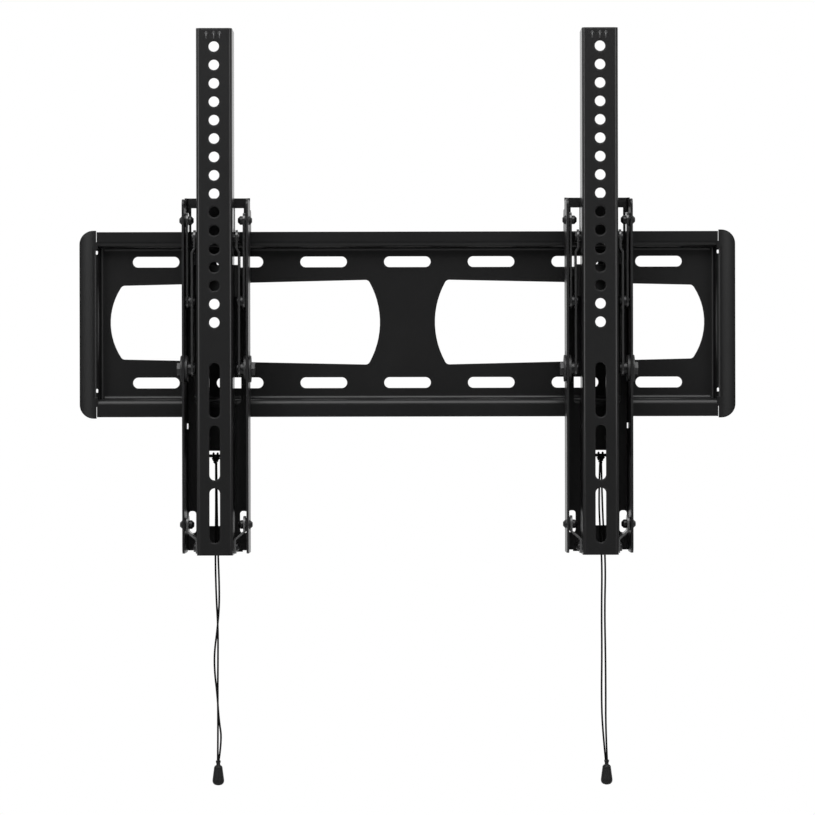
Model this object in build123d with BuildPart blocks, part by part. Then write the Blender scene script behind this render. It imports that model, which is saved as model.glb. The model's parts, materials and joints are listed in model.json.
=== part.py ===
from build123d import *
import math
import os

# Sizes are in millimetres. The wall is the plane Y = 0 and the front faces -Y.
# Depths are counted from the wall.
# The origin is on the wall, midway between the two rows of wall slots.

# Wall plate: one sheet folded into a shallow tray with lips all round
plate_sheet = 2.0
plate_bend = 3.0
fold_land = 0.5
plate_depth = 16.0
tray_up = 63.0
tray_down = 65.0
tray_half_length = 257.6
top_lip_edge = 74.8
bottom_lip_edge = 79.0
end_lip_reach = 272.4
end_lip_overhang = 1.2
end_lip_corner = 11.6
corner_slit = 0.5
corner_relief_height = 3.4
corner_relief_width = 1.7
corner_relief_shift = 0.6
corner_relief_drop = 5.1
corner_relief_rise = 8.0
corner_seam_top = 3.6
corner_seam_bottom = 5.5
corner_seam_lap = 2.5
wall_slot_length = 39.0
wall_slot_width = 9.0
wall_slot_pitch = 70.0
wall_slot_rows = 101.0
wall_slot_count = 7
window_inner = 32.8
window_outer = 238.3
window_inner_height = 70.8
window_outer_height = 61.6
window_bow = 9.8
window_corner = 4.0

# Hook bracket: a channel that hangs on the top lip and opens to the front
bracket_spacing = 314.8
hook_sheet = 1.8
hook_bend = 1.5
hook_width = 54.3
hook_lip_gap = 1.3
hook_front = 52.0
hook_top = 102.4
hook_flange_drop = 2.8
hook_bottom = -190.8
hook_corner = 5.0
lip_clearance = 0.2
lip_slot_play = 0.6
ear_back = 5.0
ear_top = 93.0
ear_rear_overlap = 9.0
ear_front_overlap = 14.0

# Openings in the web of the hook bracket
top_bar_height = 8.1
upper_window_width = 43.5
upper_window_bottom = 38.0
tongue_width = 29.0
tongue_bottom = 64.0
middle_window_width = 20.0
middle_window_top = 24.0
middle_window_bottom = -34.0
lip_window_width = 38.8
lip_window_bottom = -68.0
lower_window_width = 22.0
lower_window_top = -107.0
lower_window_bottom = -169.4
rivet_window_top = -157.0
rivet_window_bottom = -175.2
rivet_window_inner = 18.2
rivet_window_corner = 2.4
window_margin = 1.0
web_corner = 3.0
bottom_notch_width = 5.0
bottom_notch_height = 1.2
latch_window_top = -71.0
latch_window_bottom = -102.5
latch_window_width = 13.0
relief_width = 0.8
relief_height = 4.6
relief_centre = -86.6

# Screen arm: a channel that opens to the wall
arm_sheet = 2.0
arm_bend = 1.0
arm_width = 29.5
arm_front = 60.0
arm_depth = 28.0
arm_top = 238.2
arm_length = 430.0
hole_diameter = 8.6
hole_pitch = 15.0
hole_count = 16
first_hole = 15.0
arm_slot_length = 44.6
arm_slot_width = 8.6
arm_slot_pitch = 51.1
first_arm_slot = 295.3
arm_slot_count = 3

# Tilt linkage: heights of the pivots, all on one line at rest
pivot_depth = 40.0
stay_pivot_height = 82.6
link_joint_height = 15.7
friction_pivot_height = -39.4
slide_pin_height = 68.3
tilt_axis_height = -167.3
tilt_range = 12.0
stay_turn_ratio = 1.85

# Linkage plates
link_sheet = 1.8
stay_gap = 1.15
stay_width = 12.4
lift_gap = 2.2
lift_width = 13.0
lift_top_inset = 2.0
lift_joggle_low = 56.0
lift_joggle_high = 59.5
lift_web_depth = 28.0
lift_web_bottom = 20.3
lift_web_top = 46.7
strap_width = 16.0
strap_end = 7.0
strap_joggle_top = 5.7
strap_joggle_bottom = 12.2
strap_bottom_inset = 0.8
strap_bend = 2.0
strap_rivet_rise = 6.2
strap_rivet_pitch = 8.0

# Pins, rivets and the friction joint
running_clearance = 0.05
face_clearance = 0.05
rivet_shank = 5.0
rivet_head = 7.2
rivet_outer_head_height = 2.7
rivet_inner_head_height = 4.2
rivet_dome = 1.9
washer_diameter = 11.0
link_rivet_collar = 10.0
link_rivet_inner_head_height = 1.9
link_rivet_outer_head_height = 0.8
slide_pin_diameter = 5.6
slide_pin_head = 8.8
slide_pin_head_height = 1.4
slide_slot_play = 1.6
strap_rivet_diameter = 4.0
strap_rivet_head = 6.4
strap_rivet_head_height = 2.0
friction_bolt_diameter = 6.0
friction_bolt_head = 10.0
friction_bolt_head_height = 3.1
friction_bolt_end = 9.0
friction_bolt_end_height = 2.0
friction_slot_play = 0.5
friction_disc_diameter = 22.0
outer_disc_thickness = 1.5
inner_disc_thickness = 2.0
disc_clearance = 0.2
sleeve_diameter = 11.0

# Latch behind each arm, with its spring and pull cord
latch_sheet = 2.0
latch_gap = 1.95
latch_half_width = 13.5
latch_shelf_top = -84.0
latch_nose_width = 11.0
latch_nose_back = 9.0
latch_nose_top = -72.0
latch_bottom = -112.4
latch_travel = 9.0
cord_strip = 2.5
cord_hole_width = 15.0
cord_hole_height = 2.9
guide_spacing = 20.0
guide_height = -97.0
guide_diameter = 4.0
guide_collar = 7.0
guide_head = 8.0
guide_head_height = 1.6
spring_diameter = 4.8
spring_wire = 0.8
spring_turns = 7
spring_seat_width = 2.6
spring_seat_height = 4.0
cord_diameter = 1.6
cord_strand_gap = 0.5
hitch_diameter = 7.2
hitch_tip = 3.2
hitch_turn_spread = 3.4
hitch_height = 5.0
pull_top = -363.6
pull_height = 20.6
pull_diameter = 9.7
pull_neck = 4.0
pull_shoulder = 7.0
pull_shoulder_drop = 5.4
pull_widest_drop = 15.8
pull_base_round = 2.4

os.makedirs("parts", exist_ok=True)


def export_pair(pieces):
    """Writes each piece of an arm twice, at the left and at the right bracket."""
    for side, centre in (("left", -bracket_spacing / 2), ("right", bracket_spacing / 2)):
        for name, piece in pieces.items():
            placed = piece.moved(Location((centre, 0, 0)))
            placed.label = f"{side}_{name}"
            export_step(placed, f"parts/{side}_{name}.step")


def stacked_pin(sections, depth, height):
    """A pin along X, as cylinders given by (start, end, radius)."""
    with BuildPart() as pin:
        for start, end, radius in sections:
            with BuildSketch(Plane.YZ.offset(start)):
                with Locations((-depth, height)):
                    Circle(radius)
            extrude(amount=end - start)
    return pin.part


# Depths and half widths that follow from the sizes above
web_back = plate_depth + hook_lip_gap
web_front = web_back + hook_sheet
flange_outer = hook_width / 2
flange_inner = flange_outer - hook_sheet
stay_outer = flange_inner - stay_gap
stay_inner = stay_outer - link_sheet
lift_outer = stay_inner - lift_gap
lift_inner = lift_outer - link_sheet
arm_half = arm_width / 2
arm_inner = arm_half - arm_sheet
arm_bottom = arm_top - arm_length
arm_back = arm_front - arm_depth
strap_top = tilt_axis_height + strap_end
strap_bottom = arm_bottom + strap_bottom_inset
strap_rivet_height = arm_bottom + strap_rivet_rise

# Wall plate
with BuildPart() as wall_plate:
    lip_middle = plate_depth - plate_sheet / 2
    web_middle = plate_sheet / 2
    fold = plate_bend + plate_sheet / 2
    lip_half_length = tray_half_length + plate_sheet / 2 - corner_slit
    with BuildSketch(Plane.YZ.offset(-lip_half_length)):
        with BuildLine():
            FilletPolyline(
                (-lip_middle, top_lip_edge),
                (-lip_middle, tray_up),
                (-web_middle, tray_up),
                (-web_middle, -tray_down),
                (-lip_middle, -tray_down),
                (-lip_middle, -bottom_lip_edge),
                radius=fold,
            )
        trace(line_width=plate_sheet)
    extrude(amount=2 * lip_half_length)
    # The ends of the web make room for the end walls, which are folded forward and then outwards
    end_wall_top = tray_up - plate_sheet / 2
    end_wall_bottom = -tray_down + plate_sheet / 2
    end_wall_middle = (end_wall_top + end_wall_bottom) / 2
    end_fold_start = tray_half_length - fold - fold_land
    end_fold_end = tray_half_length + fold + fold_land
    end_lip_inner = tray_half_length + plate_sheet / 2
    with BuildSketch(Plane.XZ):
        with Locations((end_fold_start, end_wall_middle)):
            Rectangle(
                end_fold_end - end_fold_start,
                end_wall_top - end_wall_bottom,
                align=(Align.MIN, Align.CENTER),
            )
        mirror(about=Plane.YZ)
    extrude(amount=plate_depth, mode=Mode.SUBTRACT)
    with BuildSketch(Plane.XY.offset(end_wall_bottom)):
        with BuildLine():
            FilletPolyline(
                (end_fold_start, -web_middle),
                (tray_half_length, -web_middle),
                (tray_half_length, -lip_middle),
                (end_fold_end, -lip_middle),
                radius=fold,
            )
        trace(line_width=plate_sheet)
        mirror(about=Plane.YZ)
    extrude(amount=end_wall_top - end_wall_bottom)
    # End lips, a little taller than the tray, with round outer corners
    with BuildSketch(Plane.XZ.offset(plate_depth - plate_sheet)) as end_lips:
        with Locations((end_lip_inner, (top_lip_edge - bottom_lip_edge) / 2)):
            Rectangle(
                end_lip_reach - end_lip_inner,
                top_lip_edge + bottom_lip_edge + 2 * end_lip_overhang,
                align=(Align.MIN, Align.CENTER),
            )
        fillet(end_lips.vertices().group_by(Axis.X)[-1], radius=end_lip_corner)
        with Locations((end_fold_end, end_wall_middle)):
            Rectangle(
                end_fold_end - end_lip_inner,
                end_wall_top - end_wall_bottom,
                align=(Align.MAX, Align.CENTER),
                mode=Mode.SUBTRACT,
            )
        mirror(about=Plane.YZ)
    extrude(amount=plate_sheet)
    # Wall slots
    with BuildSketch(Plane.XZ):
        with GridLocations(wall_slot_pitch, wall_slot_rows, wall_slot_count, 2):
            SlotOverall(wall_slot_length, wall_slot_width)
    extrude(amount=plate_sheet, mode=Mode.SUBTRACT)
    # Two large windows with bowed ends
    with BuildSketch(Plane.XZ) as windows:
        with BuildLine():
            Line((window_inner, window_inner_height / 2), (window_outer, window_outer_height / 2))
            ThreePointArc(
                (window_outer, window_outer_height / 2),
                (window_outer + window_bow, 0),
                (window_outer, -window_outer_height / 2),
            )
            Line((window_outer, -window_outer_height / 2), (window_inner, -window_inner_height / 2))
            ThreePointArc(
                (window_inner, -window_inner_height / 2),
                (window_inner - window_bow, 0),
                (window_inner, window_inner_height / 2),
            )
        make_face()
        fillet(windows.vertices(), radius=window_corner)
        mirror(about=Plane.YZ)
    extrude(amount=plate_sheet, mode=Mode.SUBTRACT)
    # Short seams close the corners between the lips and the end lips
    seam_width = 2 * (corner_slit + plate_sheet / 2)
    with BuildSketch(Plane.XZ.offset(plate_depth - plate_sheet)):
        with Locations((end_lip_inner, tray_up - corner_seam_lap)):
            Rectangle(seam_width, corner_seam_top + corner_seam_lap, align=(Align.CENTER, Align.MIN))
        with Locations((end_lip_inner, -tray_down + corner_seam_lap)):
            Rectangle(seam_width, corner_seam_bottom + corner_seam_lap, align=(Align.CENTER, Align.MAX))
        mirror(about=Plane.YZ)
    extrude(amount=plate_sheet)
    # Upright relief slots where the folds meet
    relief_x = tray_half_length + corner_relief_shift
    relief_low = -tray_down + corner_relief_rise
    relief_high = tray_up - corner_relief_drop
    with BuildSketch(Plane.XZ):
        with Locations(
            (relief_x, relief_low),
            (relief_x, relief_high),
            (-relief_x, relief_low),
            (-relief_x, relief_high),
        ):
            SlotOverall(corner_relief_height, corner_relief_width, rotation=90)
    extrude(amount=plate_depth, mode=Mode.SUBTRACT)
wall_plate.part.label = "wall_plate"
export_step(wall_plate.part, "parts/wall_plate.step")

# Hook bracket
with BuildPart() as hook_bracket:
    flange_middle = flange_outer - hook_sheet / 2
    with BuildSketch(Plane.XY.offset(hook_bottom)):
        with BuildLine():
            FilletPolyline(
                (-flange_middle, -hook_front),
                (-flange_middle, -web_back - hook_sheet / 2),
                (flange_middle, -web_back - hook_sheet / 2),
                (flange_middle, -hook_front),
                radius=hook_bend + hook_sheet / 2,
            )
        trace(line_width=hook_sheet)
    extrude(amount=hook_top - hook_bottom)
    # The flanges end a little below the top bar
    with BuildSketch(Plane.XZ.offset(web_front + hook_bend)):
        with Locations((0, hook_top - hook_flange_drop)):
            Rectangle(hook_width, hook_flange_drop, align=(Align.CENTER, Align.MIN))
    extrude(amount=hook_front - web_front - hook_bend, mode=Mode.SUBTRACT)
    fillet(hook_bracket.edges().filter_by(Axis.X).group_by(Axis.Y)[0], radius=hook_corner)
    # Upper window round the tongue
    with BuildSketch(Plane.XZ.offset(web_back)) as upper_window:
        with Locations((0, upper_window_bottom)):
            Rectangle(
                upper_window_width,
                hook_top - top_bar_height - upper_window_bottom,
                align=(Align.CENTER, Align.MIN),
            )
        with Locations((0, tongue_bottom)):
            Rectangle(
                tongue_width,
                hook_top - tongue_bottom,
                align=(Align.CENTER, Align.MIN),
                mode=Mode.SUBTRACT,
            )
    extrude(amount=hook_sheet + hook_bend, mode=Mode.SUBTRACT)
    # Middle window behind the arm, wider where the lower lip shows
    with BuildSketch(Plane.XZ.offset(web_back)) as middle_window:
        with Locations((0, middle_window_bottom)):
            Rectangle(
                middle_window_width,
                middle_window_top - middle_window_bottom,
                align=(Align.CENTER, Align.MIN),
            )
        with Locations((0, lip_window_bottom)):
            Rectangle(
                lip_window_width,
                middle_window_bottom - lip_window_bottom,
                align=(Align.CENTER, Align.MIN),
            )
        fillet(middle_window.vertices().group_by(Axis.Y)[0], radius=web_corner)
        fillet(middle_window.vertices().group_by(Axis.Y)[-1], radius=web_corner)
    extrude(amount=hook_sheet + hook_bend, mode=Mode.SUBTRACT)
    # Lower window, the openings beside the lower rivets, and the notches at the bottom bends
    with BuildSketch(Plane.XZ.offset(web_back)):
        with Locations((0, (lower_window_top + lower_window_bottom) / 2)):
            RectangleRounded(
                lower_window_width,
                lower_window_top - lower_window_bottom,
                web_corner,
            )
        rivet_window_outer = flange_inner - window_margin
        with Locations(
            (
                (rivet_window_inner + rivet_window_outer) / 2,
                (rivet_window_top + rivet_window_bottom) / 2,
            )
        ):
            RectangleRounded(
                rivet_window_outer - rivet_window_inner,
                rivet_window_top - rivet_window_bottom,
                rivet_window_corner,
            )
        with Locations((flange_inner, hook_bottom)):
            Rectangle(
                bottom_notch_width,
                bottom_notch_height,
                align=(Align.MAX, Align.MIN),
            )
        mirror(about=Plane.YZ)
    extrude(amount=hook_sheet + hook_bend, mode=Mode.SUBTRACT)
    # Opening for the latch nose and its spring, with a tongue that centres the spring
    with BuildSketch(Plane.XZ.offset(web_back)):
        with Locations((0, latch_window_bottom)):
            Rectangle(
                latch_window_width,
                latch_window_top - latch_window_bottom,
                align=(Align.CENTER, Align.MIN),
            )
            Rectangle(
                spring_seat_width,
                spring_seat_height,
                align=(Align.CENTER, Align.MIN),
                mode=Mode.SUBTRACT,
            )
    extrude(amount=hook_sheet, mode=Mode.SUBTRACT)
    # Ears that hook over the top lip
    lip_back = plate_depth - plate_sheet
    slot_front = plate_depth + lip_slot_play
    slot_back = lip_back - lip_slot_play
    slot_top = top_lip_edge + lip_clearance
    with BuildSketch(Plane.YZ.offset(flange_inner)) as ear:
        with BuildLine():
            Polyline(
                (-web_front - hook_bend, slot_top - ear_front_overlap),
                (-web_front - hook_bend, ear_top),
                (-ear_back, ear_top),
                (-ear_back, slot_top - ear_rear_overlap),
                (-slot_back + plate_bend, slot_top - ear_rear_overlap),
                (-slot_back, slot_top - ear_rear_overlap + plate_bend),
                (-slot_back, slot_top),
                (-slot_front, slot_top),
                (-slot_front, slot_top - ear_front_overlap),
                close=True,
            )
        make_face()
        fillet(ear.vertices().group_by(Axis.Y)[-1].sort_by(Axis.X)[-1], radius=hook_corner)
    extrude(amount=hook_sheet)
    mirror(about=Plane.YZ)
    # Holes for the four hinge rivets, and the upright slots of the friction bolts
    stay_turn = math.radians(tilt_range * stay_turn_ratio)
    stay_length = stay_pivot_height - link_joint_height
    lift_lower = link_joint_height - friction_pivot_height
    stay_swing = stay_length * math.sin(stay_turn)
    joint_high = stay_pivot_height - stay_length * math.cos(stay_turn)
    bolt_high = joint_high - math.sqrt(lift_lower**2 - stay_swing**2)
    bolt_rise = bolt_high - friction_pivot_height
    with BuildSketch(Plane.YZ.offset(-flange_outer)):
        with Locations((-pivot_depth, stay_pivot_height), (-pivot_depth, tilt_axis_height)):
            Circle(rivet_shank / 2 + running_clearance)
        with Locations((-pivot_depth, friction_pivot_height + bolt_rise / 2)):
            SlotCenterToCenter(
                bolt_rise + friction_slot_play,
                friction_bolt_diameter + friction_slot_play,
                rotation=90,
            )
    extrude(amount=hook_width, mode=Mode.SUBTRACT)
    # Reliefs at the bends, level with the latch
    with BuildSketch(Plane.XZ.offset(web_back)):
        with Locations((flange_outer, relief_centre)):
            Rectangle(hook_sheet + relief_width, relief_height, align=(Align.MAX, Align.CENTER))
        mirror(about=Plane.YZ)
    extrude(amount=hook_sheet + hook_bend, mode=Mode.SUBTRACT)
    # Holes for the latch guides
    with BuildSketch(Plane.XZ.offset(web_back)):
        with Locations((-guide_spacing / 2, guide_height), (guide_spacing / 2, guide_height)):
            Circle(guide_diameter / 2 + running_clearance)
    extrude(amount=hook_sheet, mode=Mode.SUBTRACT)

# Hinge rivets, two at the stays and two at the tilt axis
with BuildPart() as hinge_rivets:
    for height in (stay_pivot_height, tilt_axis_height):
        inner_end = stay_inner - face_clearance - rivet_inner_head_height
        with BuildSketch(Plane.XZ.offset(pivot_depth)):
            with BuildLine():
                Polyline(
                    (inner_end, height),
                    (inner_end, height + rivet_head / 2 - rivet_dome),
                    (inner_end + rivet_dome, height + rivet_head / 2),
                    (stay_inner - face_clearance, height + rivet_head / 2),
                    (stay_inner - face_clearance, height + rivet_shank / 2),
                    (flange_outer, height + rivet_shank / 2),
                    (flange_outer, height + rivet_head / 2),
                    (flange_outer + rivet_outer_head_height - rivet_dome, height + rivet_head / 2),
                    (flange_outer + rivet_outer_head_height, height + rivet_head / 2 - rivet_dome),
                    (flange_outer + rivet_outer_head_height, height),
                    close=True,
                )
            make_face()
        revolve(axis=Axis((0, -pivot_depth, height), (1, 0, 0)))
    mirror(about=Plane.YZ)

# Washers between the flanges and the pieces that turn on those rivets
with BuildPart() as hinge_washers:
    with BuildSketch(Plane.YZ.offset(stay_outer + face_clearance)):
        with Locations((-pivot_depth, stay_pivot_height), (-pivot_depth, tilt_axis_height)):
            Circle(washer_diameter / 2)
            Circle(rivet_shank / 2 + running_clearance, mode=Mode.SUBTRACT)
    extrude(amount=stay_gap - face_clearance)
    mirror(about=Plane.YZ)

# Stays: flat bars from the upper rivets down to the lift link
with BuildPart() as stay:
    with BuildSketch(Plane.YZ.offset(stay_inner)):
        with Locations((-pivot_depth, (stay_pivot_height + link_joint_height) / 2)):
            SlotCenterToCenter(stay_length, stay_width, rotation=90)
        with Locations((-pivot_depth, stay_pivot_height), (-pivot_depth, link_joint_height)):
            Circle(rivet_shank / 2 + running_clearance, mode=Mode.SUBTRACT)
    extrude(amount=link_sheet)
stay_on_left_flange = mirror(stay.part, about=Plane.YZ)

# Lift link: two joggled side plates and the web that joins them behind the arm
with BuildPart() as lift_link:
    lift_middle = lift_outer - link_sheet / 2
    lift_end = lift_width / 2
    with BuildSketch(Plane.XZ.offset(pivot_depth - lift_end)):
        with BuildLine():
            Polyline(
                (lift_middle, friction_pivot_height - lift_end),
                (lift_middle, lift_joggle_low),
                (lift_middle - lift_top_inset, lift_joggle_high),
                (lift_middle - lift_top_inset, slide_pin_height + lift_end),
            )
        trace(line_width=link_sheet)
    extrude(amount=lift_width)
    fillet(lift_link.edges().filter_by(Axis.X).group_by(Axis.Z)[-1], radius=lift_end - window_margin)
    fillet(lift_link.edges().filter_by(Axis.X).group_by(Axis.Z)[0], radius=lift_end - window_margin)
    mirror(about=Plane.YZ)
    with BuildSketch(Plane.XY.offset(lift_web_bottom)):
        with BuildLine():
            FilletPolyline(
                (-lift_middle, -pivot_depth),
                (-lift_middle, -lift_web_depth - link_sheet / 2),
                (lift_middle, -lift_web_depth - link_sheet / 2),
                (lift_middle, -pivot_depth),
                radius=hook_bend + link_sheet / 2,
            )
        trace(line_width=link_sheet)
    extrude(amount=lift_web_top - lift_web_bottom)
    with BuildSketch(Plane.YZ.offset(-lift_outer)):
        with Locations((-pivot_depth, link_joint_height)):
            Circle(rivet_shank / 2 + running_clearance)
        with Locations((-pivot_depth, friction_pivot_height)):
            Circle(friction_bolt_diameter / 2 + running_clearance)
        with Locations((-pivot_depth, slide_pin_height)):
            Circle(slide_pin_diameter / 2 + running_clearance)
    extrude(amount=2 * lift_outer, mode=Mode.SUBTRACT)

# Rivets that join the stays to the lift link, each with a collar as spacer
with BuildPart() as link_rivets:
    add(
        stacked_pin(
            (
                (lift_inner - link_rivet_inner_head_height, lift_inner, rivet_head / 2),
                (lift_inner, stay_outer + face_clearance, rivet_shank / 2),
                (lift_outer, stay_inner - face_clearance, link_rivet_collar / 2),
                (
                    stay_outer + face_clearance,
                    stay_outer + face_clearance + link_rivet_outer_head_height,
                    rivet_head / 2,
                ),
            ),
            pivot_depth,
            link_joint_height,
        )
    )
    chamfer(link_rivets.edges().filter_by(GeomType.CIRCLE).sort_by(Axis.X)[0], length=rivet_dome / 2)
    mirror(about=Plane.YZ)

# Friction joint: bolts, sleeves and discs on both sides of each flange
outer_disc_start = flange_outer + disc_clearance
bolt_head_start = outer_disc_start + outer_disc_thickness
inner_disc_end = flange_inner - disc_clearance
inner_disc_start = inner_disc_end - inner_disc_thickness
with BuildPart() as friction_bolts:
    add(
        stacked_pin(
            (
                (lift_inner - friction_bolt_end_height, lift_inner, friction_bolt_end / 2),
                (lift_inner, bolt_head_start, friction_bolt_diameter / 2),
            ),
            pivot_depth,
            friction_pivot_height,
        )
    )
    with BuildSketch(Plane.YZ.offset(bolt_head_start)):
        with Locations((-pivot_depth, friction_pivot_height)):
            RegularPolygon(friction_bolt_head / 2, 6, major_radius=False)
    extrude(amount=friction_bolt_head_height)
    chamfer(friction_bolts.edges().filter_by(GeomType.CIRCLE).sort_by(Axis.X)[0], length=rivet_dome / 2)
    mirror(about=Plane.YZ)

with BuildPart() as friction_sleeves:
    with BuildSketch(Plane.YZ.offset(lift_outer)):
        with Locations((-pivot_depth, friction_pivot_height)):
            Circle(sleeve_diameter / 2)
            Circle(friction_bolt_diameter / 2 + running_clearance, mode=Mode.SUBTRACT)
    extrude(amount=inner_disc_start - lift_outer)
    mirror(about=Plane.YZ)

with BuildPart() as friction_discs:
    for start, thickness in (
        (inner_disc_start, inner_disc_thickness),
        (outer_disc_start, outer_disc_thickness),
    ):
        with BuildSketch(Plane.YZ.offset(start)):
            with Locations((-pivot_depth, friction_pivot_height)):
                Circle(friction_disc_diameter / 2)
                Circle(friction_bolt_diameter / 2 + running_clearance, mode=Mode.SUBTRACT)
        extrude(amount=thickness)
    mirror(about=Plane.YZ)

# Pins at the top of the lift link that slide in the arm
lift_top_outer = lift_outer - lift_top_inset
pin_start = arm_inner - disc_clearance
with BuildPart() as slide_pins:
    add(
        stacked_pin(
            (
                (pin_start - slide_pin_head_height, pin_start, slide_pin_head / 2),
                (pin_start, lift_top_outer, slide_pin_diameter / 2),
                (lift_top_outer, lift_top_outer + slide_pin_head_height, slide_pin_head / 2),
            ),
            pivot_depth,
            slide_pin_height,
        )
    )
    mirror(about=Plane.YZ)

# Screen arm
with BuildPart() as tv_arm:
    arm_middle = arm_half - arm_sheet / 2
    with BuildSketch(Plane.XY.offset(arm_bottom)):
        with BuildLine():
            FilletPolyline(
                (-arm_middle, -arm_back),
                (-arm_middle, -arm_front + arm_sheet / 2),
                (arm_middle, -arm_front + arm_sheet / 2),
                (arm_middle, -arm_back),
                radius=arm_bend + arm_sheet / 2,
            )
        trace(line_width=arm_sheet)
    extrude(amount=arm_length)
    # Screen holes, and the long slots below them
    with BuildSketch(Plane.XZ.offset(arm_front - arm_sheet)):
        for index in range(hole_count):
            with Locations((0, arm_top - first_hole - index * hole_pitch)):
                Circle(hole_diameter / 2)
        for index in range(arm_slot_count):
            with Locations((0, arm_top - first_arm_slot - index * arm_slot_pitch)):
                SlotOverall(arm_slot_length, arm_slot_width, rotation=90)
    extrude(amount=arm_sheet, mode=Mode.SUBTRACT)
    # Slots for the sliding pins, and holes for the strap rivets
    lift_upper = slide_pin_height - link_joint_height
    lift_turn = math.asin(stay_swing / lift_lower)
    pin_forward = stay_swing * (1 + lift_upper / lift_lower)
    pin_high = joint_high + lift_upper * math.cos(lift_turn)
    pin_reach = math.hypot(pin_forward, pin_high - tilt_axis_height)
    pin_slide = pin_reach - (slide_pin_height - tilt_axis_height)
    with BuildSketch(Plane.YZ.offset(-arm_half)):
        with Locations((-pivot_depth, slide_pin_height + pin_slide / 2)):
            SlotCenterToCenter(
                pin_slide + slide_slot_play / 2,
                slide_pin_diameter + slide_slot_play,
                rotation=90,
            )
        with Locations(
            (-pivot_depth - strap_rivet_pitch / 2, strap_rivet_height),
            (-pivot_depth + strap_rivet_pitch / 2, strap_rivet_height),
        ):
            Circle(strap_rivet_diameter / 2 + running_clearance)
    extrude(amount=arm_width, mode=Mode.SUBTRACT)

# Lower straps: joggled bars riveted to the arm, which turn on the lower hinge rivets
with BuildPart() as lower_strap:
    strap_high = stay_outer - link_sheet / 2
    strap_low = arm_half + link_sheet / 2
    with BuildSketch(Plane.XZ.offset(pivot_depth - strap_width / 2)):
        with BuildLine():
            FilletPolyline(
                (strap_high, strap_top),
                (strap_high, tilt_axis_height - strap_joggle_top),
                (strap_low, tilt_axis_height - strap_joggle_bottom),
                (strap_low, strap_bottom),
                radius=strap_bend,
            )
        trace(line_width=link_sheet)
    extrude(amount=strap_width)
    fillet(lower_strap.edges().filter_by(Axis.X).group_by(Axis.Z)[-1], radius=strap_end - window_margin)
    fillet(lower_strap.edges().filter_by(Axis.X).group_by(Axis.Z)[0], radius=web_corner)
    with BuildSketch(Plane.YZ):
        with Locations((-pivot_depth, tilt_axis_height)):
            Circle(rivet_shank / 2 + running_clearance)
        with Locations(
            (-pivot_depth - strap_rivet_pitch / 2, strap_rivet_height),
            (-pivot_depth + strap_rivet_pitch / 2, strap_rivet_height),
        ):
            Circle(strap_rivet_diameter / 2 + running_clearance)
    extrude(amount=flange_outer, mode=Mode.SUBTRACT)
strap_on_left_flange = mirror(lower_strap.part, about=Plane.YZ)

strap_face = arm_half + link_sheet
with BuildPart() as strap_rivets:
    for offset in (-strap_rivet_pitch / 2, strap_rivet_pitch / 2):
        add(
            stacked_pin(
                (
                    (arm_inner - strap_rivet_head_height / 2, arm_inner, strap_rivet_head / 2),
                    (arm_inner, strap_face, strap_rivet_diameter / 2),
                    (strap_face, strap_face + strap_rivet_head_height, strap_rivet_head / 2),
                ),
                pivot_depth + offset,
                strap_rivet_height,
            )
        )
    chamfer(strap_rivets.edges().filter_by(GeomType.CIRCLE).group_by(Axis.X)[-1], length=rivet_dome / 2)
    mirror(about=Plane.YZ)

# Latch: a plate that slides on the web, with a nose that reaches back under and behind the lower lip
latch_back = web_front + latch_gap
latch_front = latch_back + latch_sheet
with BuildPart() as latch_plate:
    with BuildSketch(Plane.XZ.offset(latch_back)) as latch_face:
        with Locations((0, latch_bottom)):
            Rectangle(
                2 * latch_half_width,
                latch_shelf_top - latch_bottom,
                align=(Align.CENTER, Align.MIN),
            )
        fillet(latch_face.vertices().group_by(Axis.Y)[0], radius=cord_strip)
        with Locations((0, latch_bottom + cord_strip)):
            Rectangle(
                cord_hole_width,
                cord_hole_height,
                align=(Align.CENTER, Align.MIN),
                mode=Mode.SUBTRACT,
            )
        with Locations(
            (-guide_spacing / 2, guide_height + latch_travel / 2),
            (guide_spacing / 2, guide_height + latch_travel / 2),
        ):
            SlotCenterToCenter(
                latch_travel + 4 * running_clearance,
                guide_diameter + 4 * running_clearance,
                rotation=90,
                mode=Mode.SUBTRACT,
            )
    extrude(amount=latch_sheet)
    with BuildSketch(Plane.XZ.offset(latch_nose_back)):
        with Locations((0, latch_shelf_top)):
            Rectangle(latch_nose_width, latch_sheet, align=(Align.CENTER, Align.MAX))
    extrude(amount=latch_back - latch_nose_back)
    with BuildSketch(Plane.XZ.offset(latch_nose_back)):
        with Locations((0, latch_shelf_top)):
            Rectangle(latch_nose_width, latch_nose_top - latch_shelf_top, align=(Align.CENTER, Align.MIN))
    extrude(amount=latch_sheet)
    fillet(
        latch_plate.edges().filter_by(Axis.X).group_by(Axis.Z)[-1].sort_by(Axis.Y)[-1],
        radius=latch_sheet / 2,
    )

# Shoulder rivets that guide the latch
with BuildPart() as latch_guides:
    for start, end, diameter in (
        (web_back - guide_head_height, web_back, guide_collar),
        (web_back, latch_front + face_clearance, guide_diameter),
        (web_front, latch_back - face_clearance, guide_collar),
        (latch_front + face_clearance, latch_front + face_clearance + guide_head_height, guide_head),
    ):
        with BuildSketch(Plane.XZ.offset(start)):
            with Locations((-guide_spacing / 2, guide_height), (guide_spacing / 2, guide_height)):
                Circle(diameter / 2)
        extrude(amount=end - start)

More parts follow.
